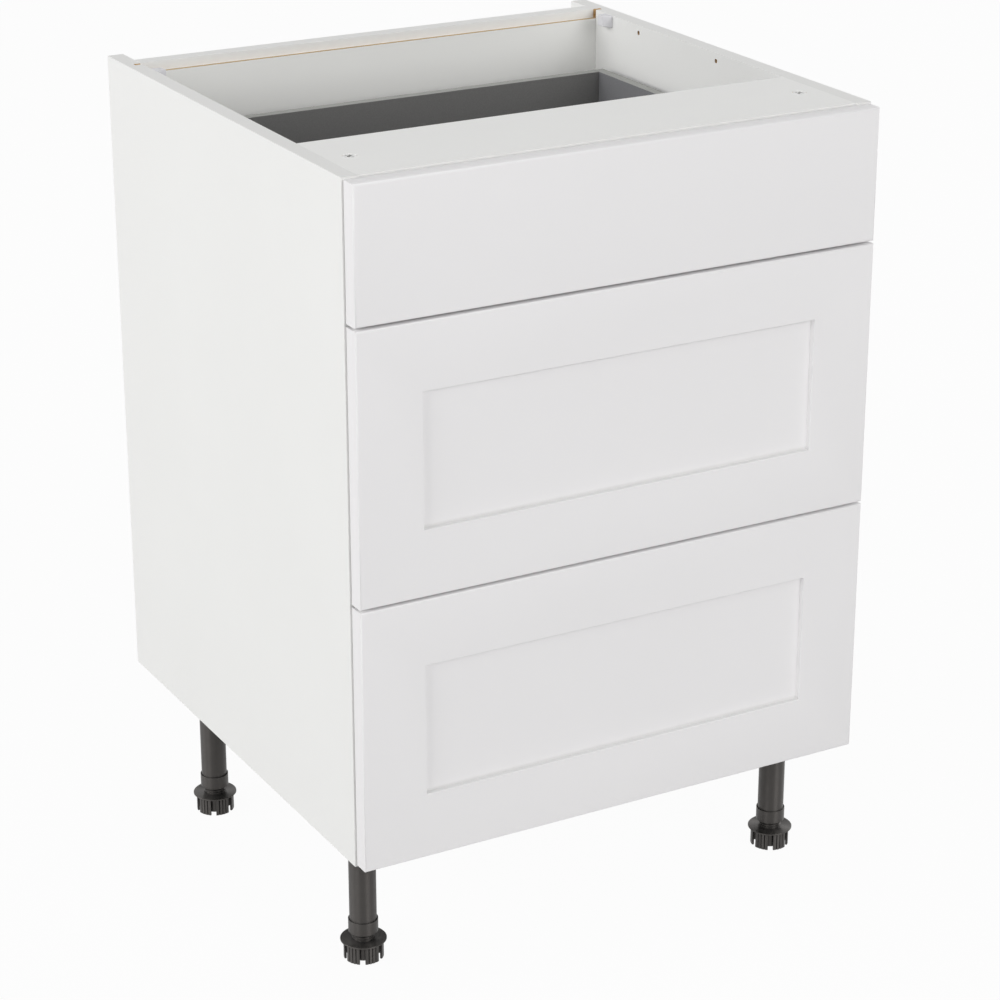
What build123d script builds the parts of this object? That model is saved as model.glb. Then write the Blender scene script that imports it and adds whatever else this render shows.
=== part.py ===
from build123d import *
import os
from math import atan2, cos, degrees, radians, sin

# Three-drawer kitchen base cabinet on adjustable legs. Millimetres, +Z up.
# The origin is on the floor, under the middle of the cabinet. +X is the right-hand side seen
# from the front, and the drawers open towards -Y.
# "From the front" is measured back from the front edges of the side panels.

# Small round pieces repeat many times, so they and their holes are drawn as prisms with these
# numbers of sides rather than as cylinders.
pin_sides = 6
cam_sides = 12
roller_sides = 12
leg_sides = 16

# ---------------------------------------------------------------- driving dimensions: carcass
carcass_width = 600
carcass_height = 720
carcass_depth = 570
board = 18
front_rail_depth = 133
front_rail_setback = 1
rear_rail_height = 100
void_depth = 50  # open space for pipes, behind the back panel
back_thickness = 6
back_drop = 10  # top edge of the back panel, below the carcass top
groove_depth = 9
groove_play = 0.3

# board joints: a steel bolt drawn up by a cam, with beech dowels beside it
cam_radius = 7.5
cam_height = 12.5
cam_play = 0.2
cam_from_end = 24
bolt_thread_radius = 2.4
bolt_thread_length = 11
bolt_radius = 3
bolt_neck_radius = 1.8
bolt_neck_length = 6.6
bolt_head_radius = 3.2
bolt_head_length = 2.5
bolt_bore_radius = 4
pilot_radius = 2.5
pilot_depth = 12
dowel_radius = 4
dowel_length = 34
dowel_in_panel = 12
dowel_play = 0.15
rail_dowel_spacing = 80
rear_dowel_spacing = 60
base_cams_from_front = (128, 396)
base_dowels_from_front = (32, 262)
base_dowel_from_rear = 32
spare_holes_from_front = (260, 420)

# worktop fixing blocks, at the rear top corners
block_projection = 12
block_length = 16.7
block_height = 14.6
block_draft = 2.7
block_to_back = 21
block_peg_radius = 4
block_peg_length = 10
block_hole_radius = 1.6
block_hole_from_panel = 8
block_hole_offset = 3

# ---------------------------------------------------------------- driving dimensions: legs
leg_height = 150
leg_from_side = 42
leg_from_front = 70
leg_spacing = 384
socket_plate = 56
socket_plate_thickness = 3.5
socket_corner = 9
socket_radius = 18
socket_depth = 16
socket_play = 0.1
gusset_count = 4
gusset_thickness = 2.5
gusset_reach = 25
gusset_height = 8
leg_screw_spacing = 38
leg_screw_radius = 1.75
leg_screw_length = 15
leg_screw_head_radius = 3.6
leg_screw_head_length = 2.2
screw_play = 0.2
tube_radius = 14.5
mouth_radius = 15.9
mouth_height = 14.9
spindle_radius = 12.5
spindle_play = 0.3
spindle_length = 40
spindle_wall = 2.6
thread_shown = 8.6  # spindle seen between the foot's flange and the mouth of the leg
flange_radius = 24.7
flange_thickness = 1.6
skirt_radius = 21.3
skirt_height = 20.5
skirt_wall = 2.4
skirt_slots = 6
skirt_slot_width = 6.2
sector_lobes = 4  # lobes of the grip between two slots
grip_groove_width = 1.4
grip_groove_depth = 1
hub_radius = 13.6
foot_rib_thickness = 1.6
foot_rib_rise = 3  # lower edges of the inner ribs, above the floor

# ---------------------------------------------------------------- driving dimensions: fronts
front_thickness = 18
front_standoff = 1.5
front_reveal = 2  # the fronts stop this far inside the carcass outline
front_gap = 3
top_front_height = 140
framed_edge_radius = 2
slab_edge_radius = 3
frame_width = 71
recess_bevel = 4.5
recess_depth = 6

# ---------------------------------------------------------------- driving dimensions: drawers
runner_gap = 12.5  # between a side panel and the drawer box
box_board = 12
box_to_back = 37.5  # clear space between a drawer box and the back panel
box_bottom_thickness = 6
box_bottom_rise = 8
box_groove_depth = 6
box_groove_play = 0.2
top_box_height = 68
deep_box_height = 180
box_lift = 14  # underside of a box, above the lower edge of its front
lowest_box_clearance = 16
front_screw_radius = 2
front_screw_length = 24
front_screw_head_radius = 4
front_screw_head_length = 2
front_screw_from_side = 20
front_screw_margin = 14

# steel runners with two nylon rollers a side
runner_from_front = 3
runner_from_box_rear = 23.5
runner_steel = 1.2
runner_rise = 2  # floor of the fixed channel, above the underside of the box
channel_reach = 10.2
channel_stop = 6  # height of the tab that stops the rear roller
moving_flange_from_panel = 3
ledge_reach = 10  # of the moving member, under the side of the box
front_roller_radius = 12
roller_width = 6
roller_from_panel = 3.8
roller_from_end = 16
roller_play = 0.3
roller_side_play = 0.2
roller_bore_play = 0.1
roller_clearance = 2  # between the moving flange and the rear roller
axle_radius = 3
axle_head_radius = 4.6
axle_head_length = 0.6
runner_screws_from_front = (37, 293)
runner_screw_radius = 2.4
runner_screw_length = 11
runner_screw_head_radius = 4.2
runner_screw_head_length = 1.4

# ---------------------------------------------------------------- derived planes and sizes
half_width = carcass_width / 2
inner_half = half_width - board
overall_depth = carcass_depth + front_standoff + front_thickness
rear_y = overall_depth / 2
edge_y = rear_y - carcass_depth
base_z = leg_height
base_top_z = base_z + board
top_z = base_z + carcass_height

back_rear_y = rear_y - void_depth
back_front_y = back_rear_y - back_thickness
back_top_z = top_z - back_drop
back_bottom_z = base_top_z - groove_depth + groove_play
back_half = inner_half + groove_depth - groove_play
groove_y_range = (back_front_y - groove_play, back_rear_y + groove_play)

rail_front_y = edge_y + front_rail_setback
rail_rear_y = edge_y + front_rail_depth
rail_middle_y = (rail_front_y + rail_rear_y) / 2
rail_axis_z = top_z - board / 2
rear_rail_rear_y = back_rear_y + board
rear_rail_y = back_rear_y + board / 2
rear_rail_z = top_z - rear_rail_height / 2
base_axis_z = base_z + board / 2
cam_x = inner_half - cam_from_end

block_y = back_front_y - block_to_back - block_length / 2
block_z = top_z - block_height / 2

leg_x = half_width - leg_from_side
front_leg_y = edge_y + leg_from_front
rear_leg_y = front_leg_y + leg_spacing
leg_places = {
    "front_left": (-leg_x, front_leg_y),
    "front_right": (leg_x, front_leg_y),
    "rear_left": (-leg_x, rear_leg_y),
    "rear_right": (leg_x, rear_leg_y),
}
flange_top_z = skirt_height + flange_thickness
mouth_z = flange_top_z + thread_shown
tube_top_z = base_z - socket_plate_thickness

front_back_y = edge_y - front_standoff
front_face_y = front_back_y - front_thickness
front_half = half_width - front_reveal
deep_front_height = (carcass_height - top_front_height) / 2 - front_reveal - front_gap
bottom_front_z = base_z + front_reveal
middle_front_z = bottom_front_z + deep_front_height + front_gap
top_front_z = middle_front_z + deep_front_height + front_gap
lowest_box_z = base_top_z + lowest_box_clearance

box_half = inner_half - runner_gap
box_inner_half = box_half - box_board
box_rear_y = back_front_y - box_to_back
box_inner_front_y = front_back_y + box_board
box_inner_rear_y = box_rear_y - box_board
bottom_reach = box_groove_depth - box_groove_play
front_screw_x = box_inner_half - front_screw_from_side

channel_front_y = edge_y + runner_from_front
channel_rear_y = box_rear_y - runner_from_box_rear
channel_y_range = (channel_front_y, channel_rear_y)
front_roller_y = channel_front_y + roller_from_end
rear_roller_y = channel_rear_y - roller_from_end
moving_flange_rise = runner_rise + 2 * (front_roller_radius + roller_play)
channel_height = moving_flange_rise + runner_steel + roller_play - runner_rise
rear_roller_radius = channel_height / 2 - roller_play
front_axle_rise = runner_rise + roller_play + front_roller_radius
rear_axle_rise = runner_rise + roller_play + rear_roller_radius
moving_flange_end_y = rear_roller_y - rear_roller_radius - roller_clearance
moving_web = runner_gap - runner_steel
roller_near = roller_from_panel - roller_side_play
roller_far = roller_from_panel + roller_width + roller_side_play

# name, lower edge and height of the front, framed or slab, underside and height of the box
drawers = (
    ("top", top_front_z, top_front_height, False, top_front_z + box_lift, top_box_height),
    ("middle", middle_front_z, deep_front_height, True, middle_front_z + box_lift, deep_box_height),
    ("bottom", bottom_front_z, deep_front_height, True, lowest_box_z, deep_box_height),
)

# Bolts and dowels lie along X, so a place (y, z) serves both ends of a board.
rail_bolt = (rail_middle_y, rail_axis_z)
rear_bolt = (rear_rail_y, rear_rail_z)
base_bolts = [(edge_y + offset, base_axis_z) for offset in base_cams_from_front]
rail_dowels = [(rail_middle_y + s * rail_dowel_spacing / 2, rail_axis_z) for s in (-1, 1)]
rear_dowels = [(rear_rail_y, rear_rail_z + s * rear_dowel_spacing / 2) for s in (-1, 1)]
base_dowels = [(edge_y + offset, base_axis_z) for offset in base_dowels_from_front]
base_dowels.append((rear_y - base_dowel_from_rear, base_axis_z))
bolt_places = [rail_bolt, rear_bolt] + base_bolts
dowel_places = rail_dowels + rear_dowels + base_dowels
spare_places = [(edge_y + offset, rail_axis_z) for offset in spare_holes_from_front]
runner_places = [
    (edge_y + offset, box_z + front_axle_rise)
    for _, _, _, _, box_z, _ in drawers
    for offset in runner_screws_from_front
]

os.makedirs("parts", exist_ok=True)


def save(piece, label):
    """Label a finished piece and write its STEP file."""
    piece.part.label = label
    export_step(piece.part, f"parts/{label}.step")


def block(x_range, y_range, z_range, mode=Mode.ADD):
    """A straight-sided solid between three pairs of limits."""
    ranges = (x_range, y_range, z_range)
    with Locations(tuple((low + high) / 2 for low, high in ranges)):
        Box(*[high - low for low, high in ranges], mode=mode)


def prism(radius, low, high, sides, mode=Mode.ADD):
    """A many-sided stand-in for a cylinder, between two heights on Z."""
    with BuildSketch(Plane.XY.offset(low)) as outline:
        RegularPolygon(radius, sides)
    extrude(outline.sketch, amount=high - low, mode=mode)


def pin(*steps):
    """A stepped pin along Z, from (radius, low, high) steps."""
    for radius, low, high in steps:
        prism(radius, low, high, pin_sides)


def drill(planes, radius, depth, sides=pin_sides):
    """Sink many-sided holes into a piece, from each plane against its normal."""
    with BuildSketch(*planes) as outlines:
        RegularPolygon(radius, sides)
    extrude(outlines.sketch, amount=-depth, mode=Mode.SUBTRACT)


def panel_faces(places, sides=(-1, 1)):
    """Planes on the side panels' inner faces, with normals pointing into the cabinet."""
    return [
        Plane((side * inner_half, y, z), x_dir=(0, 1, 0), z_dir=(-side, 0, 0))
        for side in sides
        for y, z in places
    ]


def board_ends(places):
    """Planes on both ends of a board between the side panels, with normals pointing out of it."""
    return [
        Plane((side * inner_half, y, z), x_dir=(0, 1, 0), z_dir=(side, 0, 0))
        for side in (-1, 1)
        for y, z in places
    ]


def cam_faces(places, normal):
    """Planes where cams enter a board's face, with x axes towards the nearer side panel."""
    return [
        Plane((side * cam_x, y, z), x_dir=(side, 0, 0), z_dir=normal)
        for side in (-1, 1)
        for y, z in places
    ]


rail_cams = cam_faces([(rail_middle_y, top_z)], (0, 0, 1))
rear_cams = cam_faces([(rear_rail_rear_y, rear_rail_z)], (0, 1, 0))
base_cams = cam_faces([(y, base_z) for y, _ in base_bolts], (0, 0, -1))


def joint_bores(bolts, dowels, cams):
    """Cut a board's bolt bores and dowel holes, from both ends, and its cam pockets."""
    dowel_depth = dowel_length - dowel_in_panel + dowel_play
    drill(board_ends(bolts), bolt_bore_radius, cam_from_end)
    drill(board_ends(dowels), dowel_radius + dowel_play, dowel_depth)
    drill(cams, cam_radius + cam_play, cam_height + 2 * cam_play, cam_sides)


# ---------------------------------------------------------------- carcass boards
with BuildPart() as side_panel_right:
    block((inner_half, half_width), (edge_y, rear_y), (base_z, top_z))
    groove_x_range = (inner_half, inner_half + groove_depth)
    block(groove_x_range, groove_y_range, (base_z, top_z), mode=Mode.SUBTRACT)
    inner_face = [1]
    pilot_planes = panel_faces(bolt_places + runner_places, inner_face)
    peg_plane = panel_faces([(block_y, block_z)], inner_face)
    drill(pilot_planes, pilot_radius, pilot_depth)
    drill(panel_faces(dowel_places, inner_face), dowel_radius + dowel_play, dowel_in_panel + dowel_play)
    drill(peg_plane, block_peg_radius + dowel_play, block_peg_length + dowel_play)
    drill(panel_faces(spare_places, inner_face), pilot_radius, pilot_depth, cam_sides)
save(side_panel_right, "side_panel_right")

with BuildPart() as side_panel_left:
    mirror(side_panel_right.part, about=Plane.YZ)
save(side_panel_left, "side_panel_left")

with BuildPart() as base_panel:
    block((-inner_half, inner_half), (edge_y, rear_y), (base_z, base_top_z))
    groove_z_range = (base_top_z - groove_depth, base_top_z)
    block((-inner_half, inner_half), groove_y_range, groove_z_range, mode=Mode.SUBTRACT)
    joint_bores(base_bolts, base_dowels, base_cams)
    for leg_at in leg_places.values():
        with BuildSketch(Plane.XY.offset(base_z)):
            with Locations(leg_at):
                with GridLocations(leg_screw_spacing, leg_screw_spacing, 2, 2):
                    RegularPolygon(leg_screw_radius + screw_play, pin_sides)
        extrude(amount=leg_screw_length - socket_plate_thickness + screw_play, mode=Mode.SUBTRACT)
save(base_panel, "base_panel")

with BuildPart() as front_rail:
    block((-inner_half, inner_half), (rail_front_y, rail_rear_y), (top_z - board, top_z))
    joint_bores([rail_bolt], rail_dowels, rail_cams)
save(front_rail, "front_rail")

with BuildPart() as rear_rail:
    rear_rail_z_range = (top_z - rear_rail_height, top_z)
    block((-inner_half, inner_half), (back_rear_y, rear_rail_rear_y), rear_rail_z_range)
    joint_bores([rear_bolt], rear_dowels, rear_cams)
save(rear_rail, "rear_rail")

with BuildPart() as back_panel:
    block((-back_half, back_half), (back_front_y, back_rear_y), (back_bottom_z, back_top_z))
save(back_panel, "back_panel")

# ---------------------------------------------------------------- joint fittings
# One cam, its face on local Z = 0 and its bolt coming from local +X.
cam_floor = cam_play + cam_height
bolt_room = bolt_head_radius + cam_play
bolt_axis = board / 2
with BuildPart() as cam:
    prism(cam_radius, -cam_floor, -cam_play, cam_sides)
    with BuildSketch(Plane.XY.offset(-cam_floor)):
        Rectangle(bolt_head_length + 2 * cam_play, 2 * bolt_room)
        neck_slot = 2 * (bolt_neck_radius + cam_play)
        Rectangle(cam_radius, neck_slot, align=(Align.MIN, Align.CENTER))
    extrude(amount=cam_floor - bolt_axis + bolt_room, mode=Mode.SUBTRACT)

with BuildPart() as cam_locks:
    with Locations(*rail_cams, *rear_cams, *base_cams):
        add(cam.part)
save(cam_locks, "cam_locks")

head_start = cam_from_end - bolt_head_length / 2
neck_start = head_start - bolt_neck_length
with BuildPart() as bolt:
    pin(
        (bolt_thread_radius, -bolt_thread_length, 0),
        (bolt_radius, 0, neck_start),
        (bolt_neck_radius, neck_start, head_start),
        (bolt_head_radius, head_start, head_start + bolt_head_length),
    )

with BuildPart() as cam_bolts:
    with Locations(*panel_faces(bolt_places)):
        add(bolt.part)
save(cam_bolts, "cam_bolts")

with BuildPart() as dowel:
    pin((dowel_radius, -dowel_in_panel, dowel_length - dowel_in_panel))

with BuildPart() as dowels:
    with Locations(*panel_faces(dowel_places)):
        add(dowel.part)
save(dowels, "dowels")

# The block tapers away from the side panel, but its top stays level with the carcass.
with BuildPart() as corner_block_right:
    block_x_range = (inner_half - block_projection, inner_half)
    block_half = block_length / 2
    with BuildSketch(Plane((0, block_y, top_z - block_height), x_dir=(1, 0, 0), z_dir=(0, 0, 1))):
        Polygon(
            (block_x_range[1], -block_half),
            (block_x_range[1], block_half),
            (block_x_range[0], block_half - block_draft),
            (block_x_range[0], block_draft - block_half),
            align=None,
        )
    extrude(amount=block_height)
    with BuildSketch(Plane((0, block_y, top_z), x_dir=(1, 0, 0), z_dir=(0, -1, 0))):
        Polygon(
            (block_x_range[1], 0),
            (block_x_range[0], 0),
            (block_x_range[0], block_draft - block_height),
            (block_x_range[1], -block_height),
            align=None,
        )
    extrude(amount=block_length, both=True, mode=Mode.INTERSECT)
    with BuildSketch(Plane((inner_half, block_y, block_z), x_dir=(0, 1, 0), z_dir=(1, 0, 0))):
        RegularPolygon(block_peg_radius, pin_sides)
    extrude(amount=block_peg_length)
    with Locations((inner_half - block_hole_from_panel, block_y + block_hole_offset, top_z)):
        Hole(block_hole_radius, block_height)
save(corner_block_right, "corner_block_right")

with BuildPart() as corner_block_left:
    mirror(corner_block_right.part, about=Plane.YZ)
save(corner_block_left, "corner_block_left")

# ---------------------------------------------------------------- adjustable legs
# Socket, tube and foot are drawn once on the Z axis, then set out at the four places.
with BuildPart() as gusset:
    with BuildSketch(Plane.XZ):
        Polygon(
            (tube_radius, tube_top_z),
            (gusset_reach, tube_top_z),
            (socket_radius, tube_top_z - gusset_height),
            (tube_radius, tube_top_z - gusset_height),
            align=None,
        )
    extrude(amount=gusset_thickness / 2, both=True)

with BuildPart() as leg_socket:
    with BuildSketch(Plane.XY.offset(base_z)):
        plate = Rectangle(socket_plate, socket_plate)
        chamfer(plate.vertices(), socket_corner)
        with GridLocations(leg_screw_spacing, leg_screw_spacing, 2, 2):
            RegularPolygon(leg_screw_radius + screw_play, pin_sides, mode=Mode.SUBTRACT)
    extrude(amount=-socket_plate_thickness)
    prism(socket_radius, base_z - socket_depth, tube_top_z, leg_sides)
    with PolarLocations(0, gusset_count):
        add(gusset.part)
    socket_mouth_z = base_z - socket_depth
    prism(tube_radius + socket_play, socket_mouth_z, tube_top_z, leg_sides, mode=Mode.SUBTRACT)

with BuildPart() as leg_tube:
    prism(tube_radius, mouth_z, tube_top_z, leg_sides)
    prism(mouth_radius, mouth_z, mouth_z + mouth_height, leg_sides)
    prism(spindle_radius + spindle_play, mouth_z, tube_top_z, leg_sides, mode=Mode.SUBTRACT)


def polar(radius, angle):
    """A point in a sketch, from its distance and its direction in degrees."""
    return (radius * cos(radians(angle)), radius * sin(radians(angle)))


# The foot: a slotted skirt with a scalloped grip, a flange and a hollow threaded spindle.
sector_angle = 360 / skirt_slots
slot_angle = degrees(skirt_slot_width / skirt_radius)
groove_angle = degrees(grip_groove_width / skirt_radius)
lobe_angle = (sector_angle - slot_angle) / sector_lobes
skirt_bore = skirt_radius - skirt_wall

grip_outline = []
for lobe in range(sector_lobes):
    lobe_start = slot_angle / 2 + lobe * lobe_angle
    if lobe:
        grip_outline.append(polar(skirt_radius - grip_groove_depth, lobe_start))
    grip_outline.append(polar(skirt_radius, lobe_start + (groove_angle / 2 if lobe else 0)))
    lobe_end = lobe_start + lobe_angle
    grip_outline.append(polar(skirt_radius, lobe_end - groove_angle / 2))
inner_angles = (sector_angle - slot_angle / 2, sector_angle / 2, slot_angle / 2)
bore_outline = [polar(skirt_bore, angle) for angle in inner_angles]

with BuildPart() as foot:
    with BuildSketch():
        with PolarLocations(0, skirt_slots):
            Polygon(*grip_outline, *bore_outline, align=None)
        RegularPolygon(hub_radius, leg_sides)
    extrude(amount=skirt_height)
    with BuildSketch(Plane.XY.offset(foot_rib_rise)):
        with PolarLocations((hub_radius + skirt_bore) / 2, skirt_slots, sector_angle / 2):
            Rectangle(skirt_radius - hub_radius, foot_rib_thickness)
    extrude(amount=skirt_height - foot_rib_rise)
    prism(flange_radius, skirt_height, flange_top_z, leg_sides)
    spindle_top_z = flange_top_z + spindle_length
    prism(spindle_radius, flange_top_z, spindle_top_z, leg_sides)
    bore_radius = spindle_radius - spindle_wall
    prism(bore_radius, 0, spindle_top_z - spindle_wall, leg_sides, mode=Mode.SUBTRACT)

leg_pieces = {"leg_socket": leg_socket, "leg_tube": leg_tube, "foot": foot}
for place_name, (leg_at_x, leg_at_y) in leg_places.items():
    for piece_name, piece in leg_pieces.items():
        with BuildPart() as placed:
            with Locations((leg_at_x, leg_at_y, 0)):
                add(piece.part)
        save(placed, f"{piece_name}_{place_name}")

with BuildPart() as leg_screw:
    pin(
        (leg_screw_radius, -leg_screw_length, 0),
        (leg_screw_head_radius, 0, leg_screw_head_length),
    )

with BuildPart() as leg_screws:
    for leg_at in leg_places.values():
        with Locations(Plane((*leg_at, tube_top_z), x_dir=(1, 0, 0), z_dir=(0, 0, -1))):
            with GridLocations(leg_screw_spacing, leg_screw_spacing, 2, 2):
                add(leg_screw.part)
save(leg_screws, "leg_screws")

# ---------------------------------------------------------------- runner fittings
with BuildPart() as runner_screw:
    screw_end = runner_steel - runner_screw_length
    pin(
        (runner_screw_radius, screw_end, runner_steel),
        (runner_screw_head_radius, runner_steel, runner_steel + runner_screw_head_length),
    )

with BuildPart() as runner_screws:
    with Locations(*panel_faces(runner_places)):
        add(runner_screw.part)
save(runner_screws, "runner_screws")

with BuildPart() as front_screw:
    pin(
        (front_screw_radius, -front_screw_length, 0),
        (front_screw_head_radius, 0, front_screw_head_length),
    )

rollers = {}
for end, roller_radius in (("front", front_roller_radius), ("rear", rear_roller_radius)):
    with BuildPart() as roller:
        with BuildSketch(Plane.XY.offset(roller_from_panel)):
            RegularPolygon(roller_radius, roller_sides)
            bore = axle_radius + roller_bore_play
            RegularPolygon(bore, pin_sides, major_radius=False, mode=Mode.SUBTRACT)
        extrude(amount=roller_width)
    rollers[end] = roller.part

with BuildPart() as fixed_axle:
    pin(
        (axle_head_radius, 0, roller_near),
        (axle_radius, roller_near, roller_far),
        (axle_head_radius, roller_far, roller_far + axle_head_length),
    )

with BuildPart() as moving_axle:
    pin(
        (axle_head_radius, roller_near - axle_head_length, roller_near),
        (axle_radius, roller_near, roller_far),
        (axle_head_radius, roller_far, runner_gap),
    )


def both_sides(near, far, y_range, z_range):
    """Two solids, left and right, between two distances from the side panels."""
    for side in (-1, 1):
        x_range = sorted((side * (inner_half - near), side * (inner_half - far)))
        block(x_range, y_range, z_range)


# ---------------------------------------------------------------- drawers
for name, front_z, front_height, framed, box_z, box_height in drawers:
    box_z_range = (box_z, box_z + box_height)
    bottom_z = box_z + box_bottom_rise
    bottom_top_z = bottom_z + box_bottom_thickness
    box_groove = (bottom_z - box_groove_play, bottom_top_z + box_groove_play)
    inner_x_range = (-box_inner_half, box_inner_half)
    screw_heights = (bottom_top_z + front_screw_margin, box_z + box_height - front_screw_margin)
    screw_planes = [
        Plane((x, box_inner_front_y, z), x_dir=(1, 0, 0), z_dir=(0, 1, 0))
        for x in (-front_screw_x, front_screw_x)
        for z in screw_heights
    ]

    with BuildPart() as front:
        front_z_range = (front_z, front_z + front_height)
        block((-front_half, front_half), (front_face_y, front_back_y), front_z_range)
        face_rim = front.edges().group_by(Axis.Y)[0]
        fillet(face_rim, framed_edge_radius if framed else slab_edge_radius)
        if framed:
            face_middle = (0, front_face_y, front_z + front_height / 2)
            with BuildSketch(Plane(face_middle, x_dir=(1, 0, 0), z_dir=(0, -1, 0))):
                Rectangle(2 * (front_half - frame_width), front_height - 2 * frame_width)
            bevel_angle = degrees(atan2(recess_bevel, recess_depth))
            extrude(amount=-recess_depth, taper=bevel_angle, mode=Mode.SUBTRACT)
        pilot_planes = [plane.offset(-box_board) for plane in screw_planes]
        pilot_length = front_screw_length - box_board + screw_play
        drill(pilot_planes, front_screw_radius + screw_play, pilot_length)
    save(front, f"{name}_front")

    with BuildPart() as box_front:
        block(inner_x_range, (front_back_y, box_inner_front_y), box_z_range)
        groove_range = (box_inner_front_y - box_groove_depth, box_inner_front_y)
        block(inner_x_range, groove_range, box_groove, mode=Mode.SUBTRACT)
        drill(screw_planes, front_screw_radius + screw_play, box_board)
    save(box_front, f"{name}_box_front")

    with BuildPart() as box_back:
        block(inner_x_range, (box_inner_rear_y, box_rear_y), box_z_range)
        groove_range = (box_inner_rear_y, box_inner_rear_y + box_groove_depth)
        block(inner_x_range, groove_range, box_groove, mode=Mode.SUBTRACT)
    save(box_back, f"{name}_box_back")

    with BuildPart() as box_right:
        block((box_inner_half, box_half), (front_back_y, box_rear_y), box_z_range)
        groove_range = (box_inner_half, box_inner_half + box_groove_depth)
        block(groove_range, (front_back_y, box_rear_y), box_groove, mode=Mode.SUBTRACT)
    save(box_right, f"{name}_box_right")

    with BuildPart() as box_left:
        mirror(box_right.part, about=Plane.YZ)
    save(box_left, f"{name}_box_left")

    with BuildPart() as box_bottom:
        bottom_half = box_inner_half + bottom_reach
        bottom_y_range = (box_inner_front_y - bottom_reach, box_inner_rear_y + bottom_reach)
        block((-bottom_half, bottom_half), bottom_y_range, (bottom_z, bottom_top_z))
    save(box_bottom, f"{name}_box_bottom")

    with BuildPart() as front_screws:
        with Locations(*screw_planes):
            add(front_screw.part)
    save(front_screws, f"{name}_front_screws")

    # The fixed member is a channel open towards the box, with the front rollers' axles.
    floor_z = box_z + runner_rise
    roof_z = floor_z + channel_height
    front_axle = (front_roller_y, box_z + front_axle_rise)
    with BuildPart() as runner_fixed:
        web_z_range = (floor_z - runner_steel, roof_z + runner_steel)
        both_sides(0, runner_steel, channel_y_range, web_z_range)
        both_sides(0, channel_reach, channel_y_range, (floor_z - runner_steel, floor_z))
        both_sides(0, channel_reach, channel_y_range, (roof_z, roof_z + runner_steel))
        stop_y_range = (channel_rear_y - runner_steel, channel_rear_y)
        both_sides(0, channel_reach, stop_y_range, (roof_z - channel_stop, roof_z))
        with Locations(*panel_faces([front_axle])):
            add(fixed_axle.part)
        fixing_places = [(edge_y + offset, front_axle[1]) for offset in runner_screws_from_front]
        web_faces = [plane.offset(runner_steel) for plane in panel_faces(fixing_places)]
        drill(web_faces, runner_screw_radius + screw_play, runner_steel)
    save(runner_fixed, f"{name}_runner_fixed")

    # The moving member carries the box on its ledge, and the rear rollers' axles.
    flange_z = box_z + moving_flange_rise
    flange_z_range = (flange_z, flange_z + runner_steel)
    ledge_z_range = (box_z - runner_steel, box_z)
    rear_axle = (rear_roller_y, box_z + rear_axle_rise)
    with BuildPart() as runner_moving:
        web_z_range = (ledge_z_range[0], flange_z_range[1])
        both_sides(moving_web, runner_gap, channel_y_range, web_z_range)
        both_sides(moving_web, runner_gap + ledge_reach, channel_y_range, ledge_z_range)
        flange_y_range = (channel_front_y, moving_flange_end_y)
        both_sides(moving_flange_from_panel, runner_gap, flange_y_range, flange_z_range)
        with Locations(*panel_faces([rear_axle])):
            add(moving_axle.part)
    save(runner_moving, f"{name}_runner_moving")

    for end, axle in (("front", front_axle), ("rear", rear_axle)):
        with BuildPart() as roller_pair:
            with Locations(*panel_faces([axle])):
                add(rollers[end])
        save(roller_pair, f"{name}_rollers_{end}")
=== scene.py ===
import math

import bmesh
import bpy
from mathutils import Matrix, Vector


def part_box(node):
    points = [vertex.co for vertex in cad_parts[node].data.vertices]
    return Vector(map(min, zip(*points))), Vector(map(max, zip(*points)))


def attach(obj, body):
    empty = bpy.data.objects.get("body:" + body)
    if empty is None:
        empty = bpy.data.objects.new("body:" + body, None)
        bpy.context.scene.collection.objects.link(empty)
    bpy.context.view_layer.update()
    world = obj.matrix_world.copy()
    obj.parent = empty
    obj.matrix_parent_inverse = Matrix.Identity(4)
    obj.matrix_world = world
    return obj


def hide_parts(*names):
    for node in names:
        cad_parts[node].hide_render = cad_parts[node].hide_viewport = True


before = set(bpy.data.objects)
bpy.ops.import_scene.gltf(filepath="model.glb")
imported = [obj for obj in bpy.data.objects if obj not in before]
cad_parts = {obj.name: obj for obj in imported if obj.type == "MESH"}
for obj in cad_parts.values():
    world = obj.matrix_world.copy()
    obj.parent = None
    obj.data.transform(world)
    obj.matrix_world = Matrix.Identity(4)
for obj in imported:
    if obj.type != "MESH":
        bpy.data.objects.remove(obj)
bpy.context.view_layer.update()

# Looks for the three-drawer base cabinet. Metres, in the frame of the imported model: the origin is on
# the floor under the middle of the cabinet, +Z is up and the drawers open towards -Y.
MM = 0.001
DRAWERS = ("top", "middle", "bottom")
CORNERS = ("front_left", "front_right", "rear_left", "rear_right")

# ---------------------------------------------------------------- sizes
# Most are the solids' own. The profile of the fronts' recess, the crosses in cams and screws, the ring
# groove of the legs, the ridges of the threads and the roundings under 1 mm are only in the looks.
FRAME_WIDTH = 71 * MM
FRAMED_RIM = 2 * MM
SLAB_RIM = 3 * MM
# steps of the recess, from the frame inwards: run, drop and rounding
RECESS_LIP = (FRAME_WIDTH, 0, 0.6 * MM)
RECESS_WALL = (0.6 * MM, 5.2 * MM, 0.5 * MM)
RECESS_DISH = (8 * MM, 0.8 * MM, 6 * MM)
RECESS_STEPS = (RECESS_LIP, RECESS_WALL, RECESS_DISH)
BOARD_EDGE = 0.25 * MM
FRONT_BACK_EDGE = 0.2 * MM
FRONT_BACKING = 1.3 * MM  # how far a front's foil fills the gap before the carcass
BLOCK_EDGE = 0.9 * MM
BLOCK_LONG_EDGE = 8 * MM  # only edges longer than this are rounded
BLOCK_CREASE = math.radians(30)  # and only those that are sharper than this

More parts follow.
